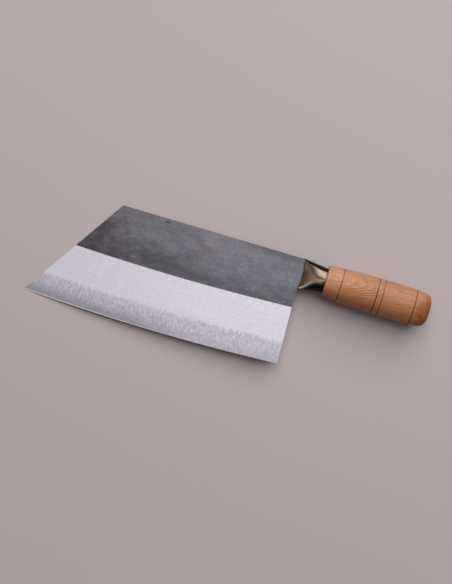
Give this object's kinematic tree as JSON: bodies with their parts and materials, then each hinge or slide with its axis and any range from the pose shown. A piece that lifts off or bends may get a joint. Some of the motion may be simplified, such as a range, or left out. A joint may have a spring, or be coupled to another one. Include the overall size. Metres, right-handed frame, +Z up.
{
  "type": "bunka knife",
  "caption": "Wide kitchen cleaver with a clipped tip, a forge-black flat over a bright ground bevel, a fishtail bolster sleeve and a grooved turned wooden handle.",
  "frame": {"origin": "middle of the knife's footprint, on the surface that it lies on", "axes": "+X from the tip to the butt, +Y from the edge to the spine, +Z up, with the knife lying on its right side"},
  "size_m": [0.3282, 0.097, 0.0335],
  "materials": {
    "blade_steel": "forge scale over the flats, brushed bevels",
    "bolster_bronze": "satin bronze coat on steel",
    "pitch": "matte",
    "handle_wood": "oiled, fine pores",
    "resin": "satin",
    "washer_steel": "plain"
  },
  "bodies": {
    "root": {"blade": "blade_steel", "bolster": "bolster_bronze", "bolster_fill": "pitch", "handle": "handle_wood", "tang_bedding": "resin", "butt_washer": "washer_steel"}
  },
  "joints": []
}
